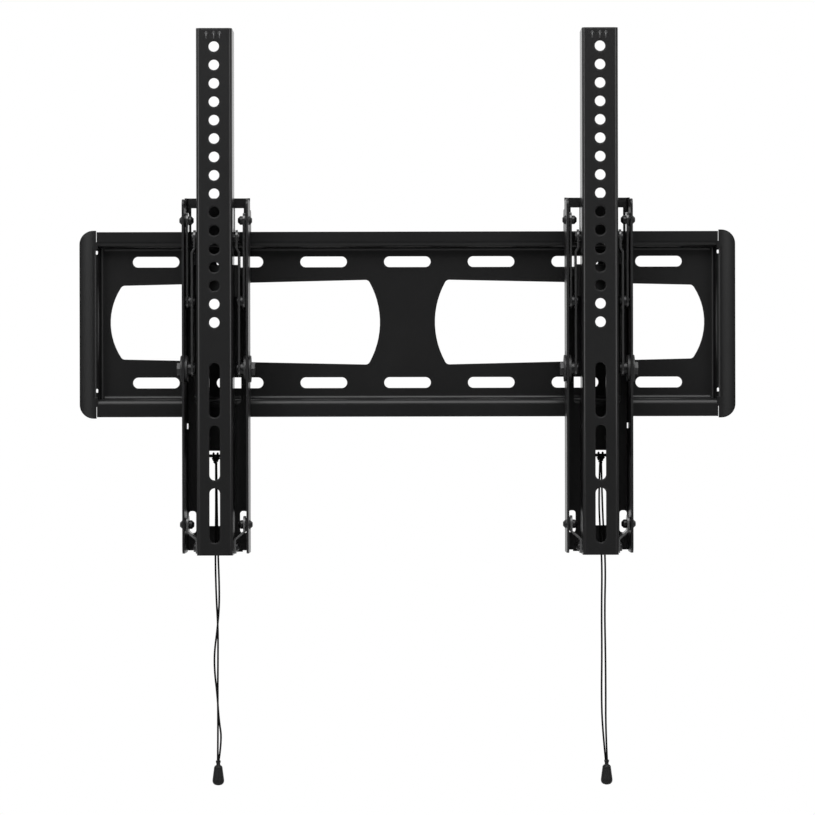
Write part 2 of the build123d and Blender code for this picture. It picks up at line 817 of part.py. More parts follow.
# Latch spring, as a coil pack between the web and the shelf of the latch
spring_bottom = latch_window_bottom
spring_top = latch_shelf_top - latch_sheet - 2 * face_clearance
spring_depth = web_back + hook_sheet / 2
with BuildPart() as latch_spring:
    turn_pitch = (spring_top - spring_bottom) / spring_turns
    outer = spring_diameter / 2
    with BuildSketch(Plane.XZ.offset(spring_depth)):
        for index in range(spring_turns):
            with Locations((outer - spring_wire / 2, spring_bottom + (index + 0.5) * turn_pitch)):
                RegularPolygon(spring_wire / 2, 4)
        with Locations((outer - spring_wire / 2, (spring_bottom + spring_top) / 2)):
            Rectangle(spring_wire / 2, spring_top - spring_bottom)
    revolve(axis=Axis((0, -spring_depth, 0), (0, 0, 1)))

common_pieces = {
    "hook_bracket": hook_bracket.part,
    "hinge_rivets": hinge_rivets.part,
    "hinge_washers": hinge_washers.part,
    "stay_right": stay.part,
    "stay_left": stay_on_left_flange,
    "lift_link": lift_link.part,
    "link_rivets": link_rivets.part,
    "friction_bolts": friction_bolts.part,
    "friction_sleeves": friction_sleeves.part,
    "friction_discs": friction_discs.part,
    "slide_pins": slide_pins.part,
    "tv_arm": tv_arm.part,
    "lower_strap_right": lower_strap.part,
    "lower_strap_left": strap_on_left_flange,
    "strap_rivets": strap_rivets.part,
    "latch_plate": latch_plate.part,
    "latch_guides": latch_guides.part,
    "latch_spring": latch_spring.part,
}
export_pair(common_pieces)

# Pull cords: two strands from the hitch on the latch strip down to the pull.
# Each route is a list of (x from the bracket's centre, z). The first strand hangs behind the second one.
# The ends of a route stop just short of the hitch and of the pull.
cord_depth = latch_back + latch_sheet / 2
strand_offset = (cord_diameter + cord_strand_gap) / 2
hitch_top = latch_bottom - face_clearance
cord_start = hitch_top - hitch_height - 2 * face_clearance
cord_end = pull_top + 2 * face_clearance
cord_routes = {
    "left": (
        ((-1.7, cord_start), (-1.6, -152.0), (-2.35, -195.0), (-1.6, -228.0), (-0.1, -254.0),
         (-0.25, -281.0), (-0.5, -308.0), (-0.3, -336.0), (-0.65, cord_end)),
        ((-1.0, cord_start), (-0.7, -150.0), (0.15, -192.0), (1.2, -221.0), (0.9, -239.0), (-0.9, -257.0),
         (-3.1, -274.0), (-2.95, -290.0), (-0.85, -308.0), (0.6, -330.0), (3.1, -346.0), (0.45, cord_end)),
    ),
    "right": (
        ((1.9, cord_start), (0.85, -146.0), (1.85, -172.0), (3.55, -202.0), (2.95, -240.0), (3.25, -275.0),
         (2.75, -310.0), (3.5, -337.0), (6.1, cord_end)),
        ((2.9, cord_start), (3.45, -146.0), (4.65, -174.0), (6.3, -204.0), (5.4, -240.0), (6.05, -275.0),
         (6.2, -310.0), (6.1, -337.0), (7.2, cord_end)),
    ),
}
hitch_places = {"left": -1.75, "right": 2.4}
pull_places = {"left": -0.1, "right": 6.9}


def cord_strand(route, centre, depth):
    """A round tube along straight runs joined by arcs as large as the runs allow."""
    points = [Vector(centre + x, -depth, z) for x, z in route]
    radii = []
    for before, corner, after in zip(points, points[1:], points[2:]):
        turn = math.radians((corner - before).get_angle(after - corner))
        shorter = min((corner - before).length, (after - corner).length)
        radii.append(0.45 * shorter / math.tan(turn / 2))
    with BuildPart() as strand:
        with BuildLine() as path:
            FilletPolyline(*points, radius=radii)
        start = path.line @ 0
        with BuildSketch(Plane(origin=start, z_dir=path.line % 0)):
            Circle(cord_diameter / 2)
        sweep()
    length = sum(edge.length for edge in path.edges())
    expected = math.pi * cord_diameter**2 / 4 * length
    print("cord radii", [round(radius, 1) for radius in radii], "length", round(length, 1))
    print("cord volume", round(strand.part.volume, 2), "section times length", round(expected, 2))
    return strand.part


for side, centre in (("left", -bracket_spacing / 2), ("right", bracket_spacing / 2)):
    # Hitch: two turns of the cord over the strip of the latch, drawn into a knot under it
    hitch_x = centre + hitch_places[side]
    turn_radius = cord_diameter / 2
    turn_gap = turn_radius + face_clearance
    with BuildPart() as cord_hitch:
        for offset in (-hitch_turn_spread / 2, hitch_turn_spread / 2):
            low = latch_bottom - turn_gap
            high = latch_bottom + cord_strip + turn_gap
            near = latch_front + turn_gap
            far = latch_back - turn_gap
            with BuildLine() as turn:
                FilletPolyline(
                    (hitch_x + offset, -near, low),
                    (hitch_x + offset, -near, high),
                    (hitch_x + offset, -far, high),
                    (hitch_x + offset, -far, low),
                    radius=turn_radius,
                    close=True,
                )
            with BuildSketch(Plane(origin=turn.line @ 0, z_dir=turn.line % 0)):
                Circle(turn_radius)
            sweep(path=turn.line)
        with Locations((hitch_x, -cord_depth, hitch_top)):
            Cone(
                hitch_tip / 2,
                hitch_diameter / 2,
                hitch_height,
                align=(Align.CENTER, Align.CENTER, Align.MAX),
            )
    cord_hitch.part.label = f"{side}_cord_hitch"
    export_step(cord_hitch.part, f"parts/{side}_cord_hitch.step")

    for strand_name, route, depth in zip(
        ("a", "b"), cord_routes[side], (cord_depth - strand_offset, cord_depth + strand_offset)
    ):
        strand = cord_strand(route, centre, depth)
        strand.label = f"{side}_cord_{strand_name}"
        export_step(strand, f"parts/{side}_cord_{strand_name}.step")

    # Pull: a bell with a narrow neck
    pull_x = centre + pull_places[side]
    with BuildPart() as cord_pull:
        with BuildSketch(Plane.XZ.offset(cord_depth)) as pull_profile:
            with BuildLine():
                Polyline(
                    (pull_x, pull_top - pull_height),
                    (pull_x, pull_top),
                    (pull_x + pull_neck / 2, pull_top),
                    (pull_x + pull_shoulder / 2, pull_top - pull_shoulder_drop),
                    (pull_x + pull_diameter / 2, pull_top - pull_widest_drop),
                    (pull_x + pull_diameter / 2, pull_top - pull_height),
                    close=True,
                )
            make_face()
            fillet(pull_profile.vertices().sort_by(Axis.Y)[:2].sort_by(Axis.X)[-1], radius=pull_base_round)
        revolve(axis=Axis((pull_x, -cord_depth, 0), (0, 0, 1)))
    cord_pull.part.label = f"{side}_cord_pull"
    export_step(cord_pull.part, f"parts/{side}_cord_pull.step")
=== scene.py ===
# %% [markdown]
# # A tilting wall bracket for a flat screen
# The bracket is almost all folded sheet steel under a black powder coat: a shallow wall plate, and
# two arms that hook onto it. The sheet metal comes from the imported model, because its shapes and
# sizes are already right there. What is left for this script is what makes black steel look real:
# the fine grain of the coat, soft edges that catch the light, the cords and their knots, the coil
# springs, and the light itself.

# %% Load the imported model
import json
from math import pi, radians, tau

import bpy
import numpy as np
from mathutils import Matrix, Vector


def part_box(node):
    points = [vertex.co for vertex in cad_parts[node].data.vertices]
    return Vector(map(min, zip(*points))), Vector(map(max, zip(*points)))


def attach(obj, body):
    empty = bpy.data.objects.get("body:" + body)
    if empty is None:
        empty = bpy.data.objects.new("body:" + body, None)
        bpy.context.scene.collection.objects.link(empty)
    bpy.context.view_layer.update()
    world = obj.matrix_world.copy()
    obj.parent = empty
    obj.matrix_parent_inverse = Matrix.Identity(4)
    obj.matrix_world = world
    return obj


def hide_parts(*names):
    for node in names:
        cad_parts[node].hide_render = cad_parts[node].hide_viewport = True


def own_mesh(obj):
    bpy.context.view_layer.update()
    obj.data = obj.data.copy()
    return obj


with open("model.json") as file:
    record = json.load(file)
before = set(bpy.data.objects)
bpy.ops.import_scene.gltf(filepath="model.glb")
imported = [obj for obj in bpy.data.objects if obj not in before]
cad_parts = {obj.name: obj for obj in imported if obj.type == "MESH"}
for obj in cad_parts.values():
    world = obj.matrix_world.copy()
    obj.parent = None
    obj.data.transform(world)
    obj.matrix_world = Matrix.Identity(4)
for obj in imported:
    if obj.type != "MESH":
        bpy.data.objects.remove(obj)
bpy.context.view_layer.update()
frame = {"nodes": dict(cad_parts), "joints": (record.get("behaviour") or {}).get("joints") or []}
nodes = frame["nodes"]
sides = ("left", "right")

# %% [markdown]
# ## The camera
# The picture is taken from straight ahead and far away, so the arms show hardly any of their sides.
# The holes of the arms are 15 mm apart, which gives the scale at the arms, and the wall slots behind
# them look a little smaller for their size. The two scales together give the distance. The lens then
# follows from the width that is seen there.

# %% Set up the camera
sensor_width = 36.0
camera_distance = 2.250
seen_width = 0.6641
arm_front = -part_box("left_tv_arm")[0][1]
camera_offset = -0.0001
camera_height = -0.0714
camera_roll = radians(-0.12)


def add_object(name, data):
    """A new object at the origin, put into the scene."""
    thing = bpy.data.objects.new(name, data)
    bpy.context.scene.collection.objects.link(thing)
    return thing


camera_data = bpy.data.cameras.new("camera")
camera_data.sensor_width = sensor_width
camera_data.lens = sensor_width * camera_distance / seen_width
camera = add_object("camera", camera_data)
camera.location = (camera_offset, -(arm_front + camera_distance), camera_height)
facing_wall = Matrix.Rotation(pi / 2, 3, "X")
camera.rotation_euler = (facing_wall @ Matrix.Rotation(camera_roll, 3, "Z")).to_euler()
bpy.context.scene.camera = camera
print("lens", round(camera_data.lens, 1))

# %% [markdown]
# ## Shader maths as plain expressions
# A finish is easier to read as a formula than as a list of nodes. This class wraps one output socket.
# Adding or multiplying two of them adds a Math node, and `add` makes any other node: first its
# settings, then its inputs. The methods below it are the few nodes that come back in every finish.


# %% A socket that can be calculated with
class Wire:
    """One output socket of a material's tree."""

    def __init__(self, tree, socket=None):
        self.tree = tree
        self.socket = socket

    def feed(self, socket, value):
        """Links a wire to a socket, or sets the socket to a plain value."""
        if isinstance(value, Wire):
            self.tree.links.new(value.socket, socket)
        else:
            socket.default_value = value

    def add(self, kind, settings=None, inputs=None, output=0):
        """Adds a node of that kind and returns the wire from one of its outputs."""
        node = self.tree.nodes.new(kind)
        for key, value in (settings or {}).items():
            setattr(node, key, value)
        for key, value in (inputs or {}).items():
            self.feed(node.inputs[key], value)
        return Wire(self.tree, node.outputs[output])

    def math(self, operation, first, second):
        """A Math node with that operation on two values, as each operator below adds."""
        return self.add("ShaderNodeMath", {"operation": operation}, {0: first, 1: second})

    def __add__(self, other):
        return self.math("ADD", self, other)

    def __radd__(self, other):
        return self.math("ADD", other, self)

    def __sub__(self, other):
        return self.math("SUBTRACT", self, other)

    def __rsub__(self, other):
        return self.math("SUBTRACT", other, self)

    def __mul__(self, other):
        return self.math("MULTIPLY", self, other)

    def __rmul__(self, other):
        return self.math("MULTIPLY", other, self)

    def span(self, low, high):
        """Low where this wire is 0 and high where it is 1."""
        return self * (high - low) + low

    def place(self):
        """The point in the piece's own space, in metres."""
        return self.add("ShaderNodeTexCoord", output="Object")

    def noise(self, scale, detail=2.0, roughness=0.5):
        """Smooth noise in the piece's own space, scale in waves per metre."""
        return self.add("ShaderNodeTexNoise", None, {
            "Vector": self.place(), "Scale": scale, "Detail": detail, "Roughness": roughness})

    def blend(self, amount, first, second):
        """A colour between two colours."""
        colours = {"Factor": amount, 6: first, 7: second}
        return self.add("ShaderNodeMix", {"data_type": "RGBA"}, colours, output=2)

    def rounded(self, radius, samples=6):
        """Normals that turn near an edge as if it had that radius in metres."""
        return self.add("ShaderNodeBevel", {"samples": samples}, {"Radius": radius})

    def bump(self, height, distance, strength, normal=None):
        """Normals that lean with a height, which counts in units of distance in metres."""
        inputs = {"Height": height, "Distance": distance, "Strength": strength}
        if normal is not None:
            inputs["Normal"] = normal
        return self.add("ShaderNodeBump", None, inputs)


def new_finish(name):
    """An empty material with its surface shader, and a wire to build from."""
    material = bpy.data.materials.new(name)
    material.use_nodes = True
    return material, material.node_tree.nodes["Principled BSDF"], Wire(material.node_tree)


def connect(wire, shader, **sockets):
    """Joins wires or values to the shader's sockets, named with underscores for spaces."""
    for key, value in sockets.items():
        wire.feed(shader.inputs[key.replace("_", " ")], value)


# %% [markdown]
# ## Bowed end lips
# The plate's end lips aren't quite flat: each shows a soft bright band along it, as a bowed strip does.
# The bow could be bent into the mesh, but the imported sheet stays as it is. A bump that depends only on
# the place along the plate turns the light in the same way.

# %% Bow the end lips
lip_start = 0.2585
lip_bow = 22.0


def bowed_lips(wire):
    """Height of the end lips over flat, in metres: it falls with the square of the way out along them."""
    along = wire.add("ShaderNodeSeparateXYZ", None, {0: wire.place()}, output="X")
    outwards = wire.math("MAXIMUM", wire.math("ABSOLUTE", along, 0.0), lip_start) - lip_start
    return outwards * outwards * -lip_bow


# %% [markdown]
# ## Black powder coat
# Powder coat melts into a film that is never quite flat: it has a fine orange-peel texture about a
# millimetre across, and a finer grain in it. Sheet edges under it are rounded by the film, and that is
# what draws the thin bright lines along every edge in the picture. A Bevel node turns the normals near
# an edge, which gives those lines without changing the sheet. The film isn't equally smooth all over
# either, so its roughness wanders.
#
# The links and straps between bracket and arm catch more light than the rest along their edges, so their
# coats are painted paler: a painted highlight for those glints, not their own shade.

# %% Powder coat finishes
peel_scale = 950.0
grain_scale = 3600.0
cloud_scale = 14.0
coarse_share = 0.7
peel_depth = 0.00004
peel_strength = 0.6
shade_spread = 0.18
roughness_spread = 0.05
clear_roughness = 0.14


def powder_coat(name, shade, roughness, gloss, clear, rounding, bow=None):
    """Coat of one shade: clear is the share of a smooth top layer, rounding the radius of edges in metres,
    and bow a function that gives the height of a bend in the surface. Peel and grain make the film's height,
    clouds and grain its shade."""
    material, shader, wire = new_finish(name)
    peel = wire.noise(peel_scale)
    grain = wire.noise(grain_scale, detail=1.0)
    clouds = wire.noise(cloud_scale, detail=3.0, roughness=0.6)
    edge = wire.rounded(rounding)
    if bow:
        edge = wire.bump(bow(wire), distance=1.0, strength=1.0, normal=edge)
    film = peel * coarse_share + grain * (1 - coarse_share)
    tint = clouds * coarse_share + grain * (1 - coarse_share)
    dark = tuple((1 - shade_spread) * part for part in shade) + (1,)
    light = tuple((1 + shade_spread) * part for part in shade) + (1,)
    connect(wire, shader,
            Base_Color=wire.blend(tint, dark, light),
            Roughness=clouds.span(roughness - roughness_spread, roughness + roughness_spread),
            Normal=wire.bump(film, peel_depth, peel_strength, edge),
            Specular_IOR_Level=gloss,
            Coat_Weight=clear,
            Coat_Roughness=clear_roughness)
    return material


plate_coat = powder_coat(
    "plate powder coat", (0.0036, 0.0036, 0.0038), roughness=0.42, gloss=0.24, clear=0.16, rounding=0.0005,
    bow=bowed_lips)
bracket_coat = powder_coat(
    "bracket powder coat", (0.0080, 0.0080, 0.0083), roughness=0.40, gloss=0.30, clear=0.08, rounding=0.0005)
# Painted highlight: the links' coat is much paler than the other black parts, standing in for the glints
# along their edges.
link_coat_painted_glint = powder_coat(
    "link powder coat, paler for painted glints", (0.0240, 0.0240, 0.0244), roughness=0.32, gloss=0.50, clear=0.90, rounding=0.0010)
# Painted highlight: the straps' coat is a pale grey, standing in for the light their front edges catch.
strap_coat_painted_glint = powder_coat(
    "strap powder coat, paler for painted glints", (0.0900, 0.0900, 0.0910), roughness=0.40, gloss=0.50, clear=0.50, rounding=0.0008)
arm_coat = powder_coat(
    "arm powder coat", (0.0042, 0.0042, 0.0044), roughness=0.44, gloss=0.23, clear=0.52, rounding=0.0022)
# Painted highlight: the arrow strokes are raised for real, but their paler colour stands in for the light on
# their edges.
mark_coat_painted_highlight = powder_coat(
    "mark paler for painted highlight", (0.065, 0.065, 0.066), roughness=0.44, gloss=0.34, clear=0.10, rounding=0.0001)
coats = (plate_coat, bracket_coat, link_coat_painted_glint, strap_coat_painted_glint, arm_coat, mark_coat_painted_highlight)
print("coats", [coat.name for coat in coats])

# %% [markdown]
# ## The small parts
# Rivets and bolts are blackened steel, which is a little shinier than the coat and shows turning marks.
# The washers, friction discs and pulls are plastic. The springs are plain drawn wire. All of them are
# small in the picture, so one or two noises are enough for each: one for shade, and a finer one for marks.

# %% Finishes of the small parts
mottle_low = (0.8, 0.8, 0.82)
mottle_high = (1.2, 1.2, 1.22)
mottle_roughness = 0.06


def blackened_steel():
    """Oiled black steel: wear makes it paler and rougher in patches, and turning marks make it uneven."""
    material, shader, wire = new_finish("blackened steel")
    wear = wire.noise(scale=420.0, detail=3.0, roughness=0.6)
    marks = wire.noise(scale=2600.0, detail=1.0, roughness=0.4)
    edge = wire.rounded(radius=0.0005)
    connect(wire, shader,
            Base_Color=wire.blend(wear, (0.008, 0.008, 0.0085, 1), (0.022, 0.022, 0.023, 1)),
            Roughness=wear.span(0.30, 0.46),
            Metallic=0.20,
            Normal=wire.bump(marks, distance=0.00003, strength=0.5, normal=edge))
    return material


def moulded_plastic(name, shade, roughness, gloss=0.5):
    """Plain moulded plastic: a mottle of a fifth either way in shade, and a faint grain from the mould."""
    material, shader, wire = new_finish(name)
    mottle = wire.noise(scale=180.0)
    grain = wire.noise(scale=2200.0)
    edge = wire.rounded(radius=0.0003, samples=4)
    low = tuple(part * shade for part in mottle_low) + (1,)
    high = tuple(part * shade for part in mottle_high) + (1,)
    connect(wire, shader,
            Base_Color=wire.blend(mottle, low, high),
            Roughness=mottle.span(roughness - mottle_roughness, roughness + mottle_roughness),
            Normal=wire.bump(grain, distance=0.00002, strength=0.5, normal=edge),
            Specular_IOR_Level=gloss)
    return material


def drawn_wire():
    """Bright spring wire: one noise gives its drawing marks, their shade and their roughness."""
    material, shader, wire = new_finish("drawn spring wire")
    marks = wire.noise(scale=1500.0)
    connect(wire, shader,
            Base_Color=wire.blend(marks, (0.16, 0.16, 0.17, 1), (0.32, 0.32, 0.33, 1)),
            Roughness=marks.span(0.25, 0.40),
            Metallic=1.0,
            Normal=wire.bump(marks, distance=0.00002, strength=0.4))
    return material


rivet_steel = blackened_steel()
washer_nylon = moulded_plastic("washer nylon", shade=0.010, roughness=0.55)
disc_plastic = moulded_plastic("friction disc", shade=0.012, roughness=0.50)
pull_plastic = moulded_plastic("pull plastic", shade=0.005, roughness=0.55, gloss=0.26)
spring_wire = drawn_wire()
small_finishes = (rivet_steel, washer_nylon, disc_plastic, pull_plastic, spring_wire)
print("small finishes", [finish.name for finish in small_finishes])

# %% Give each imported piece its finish
finish_groups = (
    (plate_coat, ("wall_plate",)),
    (bracket_coat, ("hook_bracket", "latch_plate")),
    (link_coat_painted_glint, ("stay_left", "stay_right", "lift_link")),
    (strap_coat_painted_glint, ("lower_strap_left", "lower_strap_right")),
    (arm_coat, ("tv_arm",)),
    (rivet_steel, ("hinge_rivets", "link_rivets", "strap_rivets", "latch_guides", "friction_bolts",
                   "friction_sleeves", "slide_pins")),
    (washer_nylon, ("hinge_washers",)),
    (disc_plastic, ("friction_discs",)),
    (spring_wire, ("latch_spring",)),
    (pull_plastic, ("cord_hitch", "cord_a", "cord_b", "cord_pull")),
)
finish_of = {piece_name: finish for finish, piece_names in finish_groups for piece_name in piece_names}
for name, node in nodes.items():
    piece_name = name.removeprefix("left_").removeprefix("right_")
    node.data.materials.clear()
    node.data.materials.append(finish_of[piece_name])
print("finished nodes", len(nodes))

# %% [markdown]
# ## Meshes from grids
# Each new mesh is a surface of two parameters, worked out as one numpy array of points. It could be built
# face by face, but a whole array is shorter and keeps the formula in sight. The rows run along the piece
# and the columns go round it, so the last column joins the first. A ring with no radius closes an end.


# %% Turn a grid of points into a piece
def grid_piece(name, points, material, close_rows=False):
    """A mesh from an array of points, rows by columns by xyz; the columns always close on themselves."""
    rows, columns = points.shape[:2]
    index = np.arange(rows * columns).reshape(rows, columns)
    here = index if close_rows else index[:-1]
    above = np.roll(index, -1, axis=0) if close_rows else index[1:]
    corners = (here, np.roll(here, -1, axis=1), np.roll(above, -1, axis=1), above)
    faces = np.stack(corners, axis=-1).reshape(-1, 4)
    mesh = bpy.data.meshes.new(name)
    mesh.vertices.add(rows * columns)
    mesh.vertices.foreach_set("co", points.reshape(-1))
    mesh.loops.add(faces.size)
    mesh.loops.foreach_set("vertex_index", faces.reshape(-1))
    mesh.polygons.add(len(faces))
    mesh.polygons.foreach_set("loop_start", np.arange(0, faces.size, 4))
    mesh.polygons.foreach_set("use_smooth", np.ones(len(faces), bool))
    mesh.update(calc_edges=True)
    mesh.validate()
    mesh.materials.append(material)
    return add_object(name, mesh)


sideways = np.array((1.0, 0.0, 0.0))
slanting = np.array((0.31, 0.87, 0.39))
nearly_sideways = 0.9


def tube_points(path, radius, columns=12, closed=False):
    """Rings round a path: each ring lies across the path's direction, and its first axis is square to one
    fixed direction too, so the rings don't twist. Open ends shrink to a point."""
    if closed:
        tangent = np.roll(path, -1, axis=0) - np.roll(path, 1, axis=0)
    else:
        tangent = np.gradient(path, axis=0)
    tangent /= np.linalg.norm(tangent, axis=1, keepdims=True)
    reference = sideways if abs(tangent[:, 0]).max() < nearly_sideways else slanting
    side = np.cross(tangent, reference)
    side /= np.linalg.norm(side, axis=1, keepdims=True)
    across = np.cross(tangent, side)
    turn = np.linspace(0, tau, columns, endpoint=False)[None, :, None]
    ring = np.cos(turn) * side[:, None, :] + np.sin(turn) * across[:, None, :]
    body = path[:, None, :] + radius * ring
    if closed:
        return body
    start = np.repeat(path[:1, None, :], columns, axis=1)
    end = np.repeat(path[-1:, None, :], columns, axis=1)
    return np.concatenate((start, body, end))


# %% [markdown]
# ## The pull cords
# Each latch is pulled by a loop of thin braided cord that hangs from the latch and ends in a small bell. The
# two strands of the loop aren't straight: they keep soft waves, as a cord does that was folded in a bag. A
# simulation would hang them straight down, so the waves are given one by one: each strand is one smooth
# spline whose control points are the route of the strand in the solid model.

# %% Routes of the cord strands, in metres
bracket_centre = {"left": -0.1574, "right": 0.1574}
cord_diameter = 0.0016
strand_depth = {"a": 0.0210, "b": 0.0231}
cord_start = -0.11755
cord_end = -0.3635
cord_routes = {
    "left_cord_a": ((-0.0017, cord_start), (-0.0016, -0.152), (-0.00235, -0.195), (-0.0016, -0.228),
                    (-0.0001, -0.254), (-0.00025, -0.281), (-0.0005, -0.308), (-0.0003, -0.336),
                    (-0.00065, cord_end)),
    "left_cord_b": ((-0.0010, cord_start), (-0.0007, -0.150), (0.00015, -0.192), (0.0012, -0.221),
                    (0.0009, -0.239), (-0.0009, -0.257), (-0.0031, -0.274), (-0.00295, -0.290),
                    (-0.00085, -0.308), (0.0006, -0.330), (0.0031, -0.346), (0.00045, cord_end)),
    "right_cord_a": ((0.0019, cord_start), (0.00085, -0.146), (0.00185, -0.172), (0.00355, -0.202),
                     (0.00295, -0.240), (0.00325, -0.275), (0.00275, -0.310), (0.0035, -0.337),
                     (0.0061, cord_end)),
    "right_cord_b": ((0.0029, cord_start), (0.00345, -0.146), (0.00465, -0.174), (0.0063, -0.204),
                     (0.0054, -0.240), (0.00605, -0.275), (0.0062, -0.310), (0.0061, -0.337),
                     (0.0072, cord_end)),
}
print("routes", {name: len(route) for name, route in cord_routes.items()})


# %% Braid the cords
weave_share = 0.7


def braided_cord():
    """Thin black braid: slanting waves for its weave, with some fuzz over them, quite dull."""
    material, shader, wire = new_finish("braided cord")
    weave = wire.add("ShaderNodeTexWave", {"wave_type": "BANDS", "bands_direction": "DIAGONAL"}, {
        "Vector": wire.place(), "Scale": 520.0, "Distortion": 1.5, "Detail": 1.0, "Detail Scale": 2.0},
        output="Fac")
    fuzz = wire.noise(scale=2400.0, roughness=0.6)
    height = weave * weave_share + fuzz * (1 - weave_share)
    connect(wire, shader,
            Base_Color=wire.blend(weave, (0.002, 0.002, 0.002, 1), (0.006, 0.006, 0.006, 1)),
            Roughness=weave.span(0.75, 0.90),
            Normal=wire.bump(height, distance=0.0001, strength=0.8),
            Specular_IOR_Level=0.1)
    return material


cord_braid = braided_cord()
print("cord finish", cord_braid.name)


# %% Draw a strand
def cord_strand(name):
    """A smooth spline with the strand's route as its control points, as thick as the cord."""
    side, _, strand = name.split("_")
    curve = bpy.data.curves.new(name, "CURVE")
    curve.dimensions = "3D"
    curve.resolution_u = 16
    curve.bevel_depth = cord_diameter / 2
    curve.bevel_resolution = 3
    curve.use_fill_caps = True
    route = np.array(cord_routes[name])
    points = np.ones((len(route), 4))
    points[:, 0] = bracket_centre[side] + route[:, 0]
    points[:, 1] = -strand_depth[strand]
    points[:, 2] = route[:, 1]
    spline = curve.splines.new("NURBS")
    spline.points.add(len(route) - 1)
    spline.points.foreach_set("co", points.reshape(-1))
    spline.order_u = 3
    spline.use_endpoint_u = True
    curve.materials.append(cord_braid)
    piece = add_object(name + "_braid", curve)
    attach(piece, side + "_latch")
    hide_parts(name)
    return piece, tuple(points[0, :3])


# %% [markdown]
# ## The bells at the cord ends
# Each pull is a small plastic bell: a narrow neck where the cords go in, a round shoulder and a wider,
# rounded foot. A Screw modifier could turn its profile, but rings in a grid close both ends in the same
# step. The strands enter at its flat top.

# %% Turn the bells
bell_profile = np.array((
    (0.0, 0.0), (0.0, 0.42), (0.05, 0.42), (0.13, 0.32), (0.18, 0.36), (0.21, 0.58), (0.26, 0.71),
    (0.36, 0.76), (0.50, 0.84), (0.66, 0.93), (0.78, 1.0), (0.84, 0.99), (0.91, 0.88), (0.965, 0.64),
    (0.99, 0.30), (1.0, 0.0)))
bell_rows = 66
bell_columns = 40


def turned_bell(side):
    """Rings from the neck down to the foot; the profile gives their shares of the height and the radius."""
    low, high = (np.array(corner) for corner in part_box(side + "_cord_pull"))
    middle = (low + high) / 2
    radius = (high[0] - low[0]) / 2
    spread = np.linspace(0, len(bell_profile) - 1, bell_rows)
    stations = np.arange(len(bell_profile))
    heights = high[2] - (high[2] - low[2]) * np.interp(spread, stations, bell_profile[:, 0])
    widths = radius * np.interp(spread, stations, bell_profile[:, 1])
    turn = np.linspace(tau, 0, bell_columns, endpoint=False)
    points = np.empty((bell_rows, bell_columns, 3))
    points[..., 0] = middle[0] + widths[:, None] * np.cos(turn)
    points[..., 1] = middle[1] + widths[:, None] * np.sin(turn)
    points[..., 2] = heights[:, None]
    piece = grid_piece(side + "_bell", points, pull_plastic)
    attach(piece, side + "_latch")
    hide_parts(side + "_cord_pull")
    return piece


for side in sides:
    bell = turned_bell(side)
    for strand in ("a", "b"):
        piece, start = cord_strand(f"{side}_cord_{strand}")
print("cords and bells", len(cord_routes), len(sides))

# %% [markdown]
# ## The knots on the latches
# The cord is hitched to the latch: it goes over the thin strip at the bottom of the latch twice and is
# drawn tight into a short cone below it. Every crossing of the cord could be traced, but at a few
# millimetres only the outline shows. So the two turns are closed tubes round the strip, and the knot is a
# few turns of a helix that narrows downwards, to where the two strands come out.

# %% Tie the hitches
strip_height = 0.0025
latch_sheet = 0.002
turn_offset = 0.0017
turn_corner = 0.45
turn_slack = 1.1
turn_steps = 48
knot_tip = 0.0032
knot_turns = 3
knot_steps = 30
knot_seat = 0.9
knot_easing = 1.5


def rounded_loop(half_depth, half_height):
    """A closed path in depth and height: a superellipse, which is a rectangle with generous corners."""
    turn = np.linspace(0, tau, turn_steps, endpoint=False)
    depth = half_depth * np.sign(np.cos(turn)) * np.abs(np.cos(turn)) ** turn_corner
    height = half_height * np.sign(np.sin(turn)) * np.abs(np.sin(turn)) ** turn_corner
    return depth, height


def tied_hitch(side):
    """Two turns over the latch's strip, and under it a coil whose radius shrinks evenly with its turns, while
    its height falls by a power of them."""
    low, high = (np.array(corner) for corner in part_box(side + "_cord_hitch"))
    middle = (low + high) / 2
    radius = cord_diameter / 2
    latch_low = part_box(side + "_latch_plate")[0][2]
    stand_off = radius * turn_slack
    depth, height = rounded_loop(latch_sheet / 2 + stand_off, strip_height / 2 + stand_off)
    pieces = []
    for offset in (-turn_offset, turn_offset):
        path = np.empty((turn_steps, 3))
        path[:, 0] = middle[0] + offset
        path[:, 1] = middle[1] + depth
        path[:, 2] = latch_low + strip_height / 2 + height
        name = f"{side}_hitch_turn_{len(pieces) + 1}"
        points = tube_points(path, radius, closed=True)
        pieces.append(grid_piece(name, points, cord_braid, close_rows=True))
    turn = np.linspace(0, knot_turns * tau, knot_turns * knot_steps)
    coil_radius = np.linspace((high[0] - low[0]) / 2, knot_tip / 2, len(turn)) - radius
    knot_top = latch_low - knot_seat * radius
    path = np.empty((len(turn), 3))
    path[:, 0] = middle[0] + coil_radius * np.cos(turn)
    path[:, 1] = middle[1] + coil_radius * np.sin(turn)
    path[:, 2] = knot_top + (low[2] - knot_top) * np.linspace(0, 1, len(turn)) ** knot_easing
    pieces.append(grid_piece(f"{side}_hitch_knot", tube_points(path, radius), cord_braid))
    for piece in pieces:
        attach(piece, side + "_latch")
    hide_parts(side + "_cord_hitch")
    return pieces


for side in sides:
    print(side, "hitch", [piece.name for piece in tied_hitch(side)])

# %% [markdown]
# ## The latch springs
# A small compression spring pushes each latch up behind the plate's lower lip. A Screw modifier could wind it
# with even turns. Here its path is a formula, so that the turns can lie closer in places. It moves with the
# bracket, on which its lower end sits.

# %% Wind the springs
spring_wire_radius = 0.0004
spring_turns = 7
spring_steps = 28
spring_columns = 10
spring_crowding = 0.045


